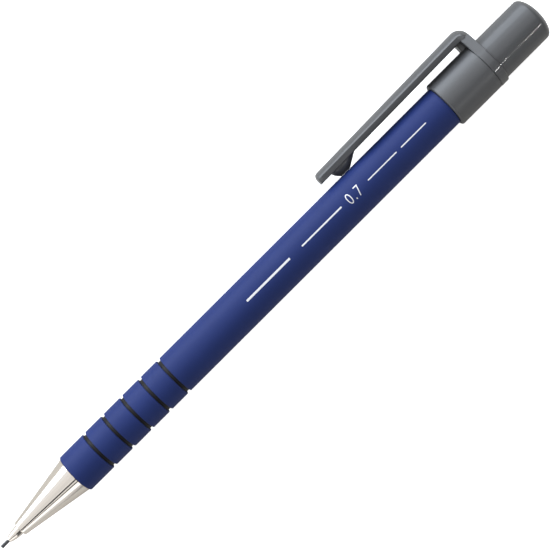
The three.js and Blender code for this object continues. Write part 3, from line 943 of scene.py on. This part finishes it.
def nub_sections():
    """The nub under the arm's free end, round in front and straight behind. It narrows from its root in the
    arm to its foot on the barrel."""
    front_root, front_foot = 93.85, 94.95
    rear_root, rear_foot = 100, 97.2
    half_root, half_foot = 2.1, 0.7
    height_root, height_foot = 5.97, 4.3
    sections = []
    steps, sides = 14, 40
    for k in range(steps + 1):
        share = k / steps
        bend = math.cos(share * math.pi / 2)
        front = front_root + (front_foot - front_root) * (1 - bend)
        rear = rear_root + (rear_foot - rear_root) * share
        half = half_foot + (half_root - half_foot) * bend
        y = height_root + (height_foot - height_root) * share
        middle, reach = (front + rear) / 2, (rear - front) / 2
        ring = []
        for i in range(sides):
            angle = 2 * math.pi * i / sides
            ring.append((middle + reach * math.cos(angle), y, -half * math.sin(angle)))
        sections.append(ring)
    return sections


def prism(name, outline, start, end, edge, material):
    """An outline of (z, y) points run along the pencil, with its end edges broken by a small bevel."""
    middle_z = sum(z for z, y in outline) / len(outline)
    middle_y = sum(y for z, y in outline) / len(outline)
    sections = []
    for s, inset in ((start, edge), (start + edge, 0), (end - edge, 0), (end, edge)):
        section = []
        for z, y in outline:
            away = Vector((z - middle_z, y - middle_y))
            away *= 1 - inset / away.length
            section.append((s, middle_y + away.y, middle_z + away.x))
        sections.append(section)
    return loft(name, sections, material)


class PENCIL_OT_clip(bpy.types.Operator):
    """Moulds the clip: ring, bridge and web, the crowned arm rolled over the bridge, and its nub"""

    bl_idname = "pencil.clip"
    bl_label = "Clip"

    def execute(self, context):
        sizes, colours = context.scene.pencil_sizes, context.scene.pencil_colours
        grey = moulded_abs("clip_grey_abs", colours.trim, 0.38, polish=0.3, specular=0.36)
        ring = [(RING_FRONT, 0, 0), (RING_FRONT, RING_RADIUS, 0.2), (RING_REAR, RING_RADIUS, 0.3)]
        ring.append((RING_REAR, 0, 0))
        clip = turn("clip", soften(ring, 6), grey, sizes.sides)
        flank, flank_angle = RING_RADIUS - 0.01, math.radians(67)
        flank_z, flank_y = flank * math.sin(flank_angle), flank * math.cos(flank_angle)
        outline = [(-flank_z, flank_y), (flank_z, flank_y)]
        outline += [(BRIDGE_HALF, BRIDGE_TOP), (-BRIDGE_HALF, BRIDGE_TOP)]
        combine(clip, prism("bridge", outline, RING_FRONT, BRIDGE_REAR, 0.12, grey), "UNION")
        web = [(-1.5, 4.9), (1.5, 4.9), (1.5, 6.5), (-1.5, 6.5)]
        combine(clip, prism("web", web, 127.4, 128.6, 0.1, grey), "UNION")
        hole = [(127.0, 0), (127.0, RING_BORE), (131.5, RING_BORE), (131.5, 0)]
        web_clear = [(126.9, 0), (126.9, 5.08), (RING_FRONT, 5.08), (RING_FRONT, 0)]
        combine(clip, turn("hole", hole, grey, sizes.sides), "DIFFERENCE")
        combine(clip, turn("clearance", web_clear, grey, sizes.sides), "DIFFERENCE")
        combine(clip, loft("arm", arm_sections(), grey), "UNION")
        combine(clip, loft("nub", nub_sections(), grey), "UNION")
        clip.data.set_sharp_from_angle(angle=SHARP)
        # A large flat face that is shaded smooth takes a false gradient from the small faces beside it.
        for face in clip.data.polygons:
            if face.area > MM * MM:
                face.use_smooth = False
        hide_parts("clip_ring", "clip_arm")
        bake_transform(clip)
        return {"FINISHED"}


# ---------- Button ----------


class PENCIL_OT_button(bpy.types.Operator):
    """Builds the push button, a domed cap over the eraser"""

    bl_idname = "pencil.button"
    bl_label = "Push button"

    def execute(self, context):
        sizes, colours = context.scene.pencil_sizes, context.scene.pencil_colours
        grey = moulded_abs("button_grey_abs", colours.trim, 0.44, polish=0.3, specular=0.3)
        start, end, radius = span("push_button")
        shoulder, flat, bore, steps = 141.0, 1.0, 3.45, 24
        edge = math.asin(flat / radius)
        profile = [(start, bore), (start, radius - 0.3), (start + 0.3, radius), (start + 0.35, radius)]
        profile.append((shoulder - 0.05, radius))
        for i in range(steps + 1):
            angle = (math.pi / 2 - edge) * i / steps
            s = shoulder + (end - shoulder) * math.sin(angle) / math.cos(edge)
            profile.append((s, radius * math.cos(angle)))
        profile += [(end, 0), (140.8, 0), (140.8, 2.9), (137.2, 2.9), (137.2, bore)]
        fit(turn("button_cap", profile, grey, sizes.sides), "button", "grey_plastic", "push_button")
        return {"FINISHED"}


# ---------- Studio ----------

# Spans along the pencil, in metres in the frame, and tints of light.
WHOLE, BODY, FAR_BODY = (-1.2, 0.6), (-0.1, 0.6), (-0.03, 0.6)
NOSE, NOSE_ABOVE, NOSE_BESIDE = (-1.3, -0.1), (-1.3, -0.27), (-1.3, -0.235)
WHITE, COOL, COOLER = (1, 1, 1), (0.98, 1.0, 1.03), (0.92, 0.99, 1.08)

# The light panels: angles in degrees from straight up towards the clip's side, distance from the pencil's
# axis in metres, span, radiance and tint.
PANELS = {
    "key": ((50, 88), 0.4, WHOLE, 4.7, COOLER),
    "shoulder_panel": ((25, 50), 0.46, BODY, 1.8, COOL),
    "ceiling": ((-11, 25), 0.5, BODY, 1.08, WHITE),
    "far_ceiling": ((-58, -11), 0.5, FAR_BODY, 0.2, WHITE),
    "far_fill": ((-89, -58), 0.5, FAR_BODY, 0.5, WHITE),
    "nose_shoulder": ((28, 50), 0.5, NOSE, 0.98, COOL),
    "nose_top": ((8, 28), 0.5, NOSE, 0.9, WHITE),
    "nose_middle": ((-13, 8), 0.5, NOSE, 0.8, WHITE),
    "nose_ceiling": ((-37, -13), 0.5, NOSE_ABOVE, 1.0, WHITE),
    "nose_panel": ((-66, -37), 0.42, NOSE_BESIDE, 1.7, WHITE),
    "nose_low_panel": ((-89, -66), 0.42, NOSE_BESIDE, 0.72, WHITE),
    "ring_glint": ((-50.3, -49.7), 0.4, (0.124, 0.134), 300, WHITE),
    "button_glint": ((-50.3, -49.7), 0.4, (0.142, 0.158), 300, WHITE),
}
# The black cards: an angle, and a list of places along the pencil with the width at each, in metres.
FLAG_DISTANCE = 0.36
FLAGS = {
    "long_flag": (-23.7, [(-1.3, 0.11), (-0.274, 0.1), (-0.241, 0.05), (-0.05, 0.05)]),
    "short_flag": (-40.5, [(-0.3, 0.0), (-0.26, 0.045), (-0.05, 0.06)]),
}
# The upright card under the clip's arm: its place beside the axis, and its tops along the pencil.
SCREEN_Y, SCREEN_TOPS = 6.1, [(99, 2.6), (102, 3.4), (118, 3.4), (118.1, 3.8), (128.3, 3.8)]
FLOOR_SIDE, FLOOR_GLOW, TABLE_DROP, WORLD_STRENGTH = 6.0, 0.8, 0.5 * MM, 0.2
# The camera looks straight down: its place over the axis, half the width of its view there, and its turn.
CAMERA_S, CAMERA_Y, CAMERA_HEIGHT = 72.99, 0.105, 330
CAMERA_HALF_VIEW, CAMERA_TURN = 51.95, -44.925


def softbox(name, angles, distance, reach, radiance, hue):
    """A long light panel beside the pencil. It fills the angles, from straight up towards the clip's side,
    and the reach along the pencil, in metres."""
    start, end = (math.radians(angle) for angle in angles)
    middle, half = (start + end) / 2, (end - start) / 2
    light = bpy.data.lights.new(name, "AREA")
    light.shape = "RECTANGLE"
    light.size, light.size_y = reach[1] - reach[0], 2 * distance * math.tan(half)
    light.energy = radiance * math.pi * light.size * light.size_y
    light.color = hue
    panel = add_object(name, light)
    y, z = AXIS.y + distance * math.sin(middle), AXIS.z + distance * math.cos(middle)
    panel.location = ((reach[0] + reach[1]) / 2, y, z)
    panel.rotation_euler = (-middle, 0, 0)
    panel.visible_camera = False


def stage_sheet(name, points, faces, material, seen):
    """A thin sheet of the studio from points in metres, which the camera may see or not."""
    sheet = mesh_object(name, points, faces, material)
    sheet.visible_camera = seen
    return sheet


def flag(name, angle, outline, material):
    """A thin black card between lights, which draws a dark line along polished metal. The outline is a list
    of its places along the pencil, in metres, and its width at each."""
    turn_to = math.radians(angle)
    y, z = FLAG_DISTANCE * math.sin(turn_to), FLAG_DISTANCE * math.cos(turn_to)
    across = Vector((0, math.cos(turn_to), -math.sin(turn_to)))
    points = []
    for x, width in outline:
        middle = Vector((x, AXIS.y + y, AXIS.z + z))
        points += [middle - across * width / 2, middle + across * width / 2]
    faces = [(2 * k, 2 * k + 1, 2 * k + 3, 2 * k + 2) for k in range(len(outline) - 1)]
    stage_sheet(name, points, faces, material, seen=False)


def screen(name, y, tops, material):
    """A thin upright black card beside the barrel, under the clip's arm, which keeps low light off it. The
    tops are its places along the pencil and its height over the axis at each, in millimetres."""
    points = [place(s, y, z) for s, top in tops for z in (0, top)]
    faces = [(2 * k, 2 * k + 2, 2 * k + 3, 2 * k + 1) for k in range(len(tops) - 1)]
    stage_sheet(name, points, faces, material, seen=False)


def floor_sheet(name, height, material, seen):
    """A wide level sheet under the pencil."""
    half = FLOOR_SIDE / 2
    corners = [(-half, -half, height), (half, -half, height), (half, half, height), (-half, half, height)]
    return stage_sheet(name, corners, [(0, 1, 2, 3)], material, seen)


class PENCIL_OT_studio(bpy.types.Operator):
    """Sets the paper floor, the lights and the camera"""

    bl_idname = "pencil.studio"
    bl_label = "Studio"

    def execute(self, context):
        scene, colours = context.scene, context.scene.pencil_colours
        white_paper = paper_sweep("white_background_paper", colours.paper, FLOOR_GLOW)
        sweep = floor_sheet("floor", 0, white_paper, seen=True)
        sweep.visible_diffuse = sweep.visible_glossy = sweep.visible_shadow = False
        floor_sheet("table", -TABLE_DROP, paper_sweep("pale_table_paper", colours.table, 0), seen=False)

        for name, (angles, distance, reach, radiance, hue) in PANELS.items():
            softbox(name, angles, distance, reach, radiance, hue)
        black, _, _ = new_material("black_card", {"Roughness": 1.0, "Base Color": rgba(colours.card)})
        for name, (angle, outline) in FLAGS.items():
            flag(name, angle, outline, black)
        screen("arm_screen", SCREEN_Y, SCREEN_TOPS, black)

        world = bpy.data.worlds.new("studio")
        world.use_nodes = True
        background = world.node_tree.nodes["Background"]
        background.inputs["Color"].default_value = (1.0, 1.0, 1.0, 1.0)
        background.inputs["Strength"].default_value = WORLD_STRENGTH
        scene.world = world

        camera = bpy.data.cameras.new("camera")
        camera.sensor_width = 36  # millimetres, as the lens is
        camera.lens = camera.sensor_width / 2 * CAMERA_HEIGHT / CAMERA_HALF_VIEW
        viewer = add_object("camera", camera)
        viewer.location = place(CAMERA_S, CAMERA_Y, CAMERA_HEIGHT)
        viewer.rotation_euler = (0, 0, math.radians(CAMERA_TURN))
        scene.camera = viewer
        scene.view_settings.view_transform = "Standard"
        return {"FINISHED"}


# ---------- Add-on ----------

OPERATORS = (
    PENCIL_OT_nose,
    PENCIL_OT_leads,
    PENCIL_OT_chuck,
    PENCIL_OT_spring,
    PENCIL_OT_tube,
    PENCIL_OT_barrel,
    PENCIL_OT_print,
    PENCIL_OT_collar,
    PENCIL_OT_clip,
    PENCIL_OT_button,
    PENCIL_OT_studio,
)


class PENCIL_PT_panel(bpy.types.Panel):
    """Lists the pencil's pieces and the studio"""

    bl_idname = "PENCIL_PT_panel"
    bl_label = "Mechanical Pencil"
    bl_space_type = "VIEW_3D"
    bl_region_type = "UI"
    bl_category = "Pencil"

    def draw(self, context):
        for operator in OPERATORS:
            self.layout.operator(operator.bl_idname)
        for group in (context.scene.pencil_sizes, context.scene.pencil_colours):
            box = self.layout.box()
            for name in group.__annotations__:
                box.prop(group, name)


CLASSES = (PencilSizes, PencilColours, *OPERATORS, PENCIL_PT_panel)


def register():
    """Makes the operators, the panel and their settings known."""
    for cls in CLASSES:
        bpy.utils.register_class(cls)
    bpy.types.Scene.pencil_sizes = PointerProperty(type=PencilSizes)
    bpy.types.Scene.pencil_colours = PointerProperty(type=PencilColours)


def unregister():
    """Takes them away again."""
    del bpy.types.Scene.pencil_colours
    del bpy.types.Scene.pencil_sizes
    for cls in reversed(CLASSES):
        bpy.utils.unregister_class(cls)


def main():
    """Builds every piece and the studio."""
    register()
    bpy.ops.pencil.nose()
    bpy.ops.pencil.leads()
    bpy.ops.pencil.chuck()
    bpy.ops.pencil.spring()
    bpy.ops.pencil.tube()
    bpy.ops.pencil.barrel()
    bpy.ops.pencil.print()
    bpy.ops.pencil.collar()
    bpy.ops.pencil.clip()
    bpy.ops.pencil.button()
    bpy.ops.pencil.studio()


if __name__ == "__main__":
    main()
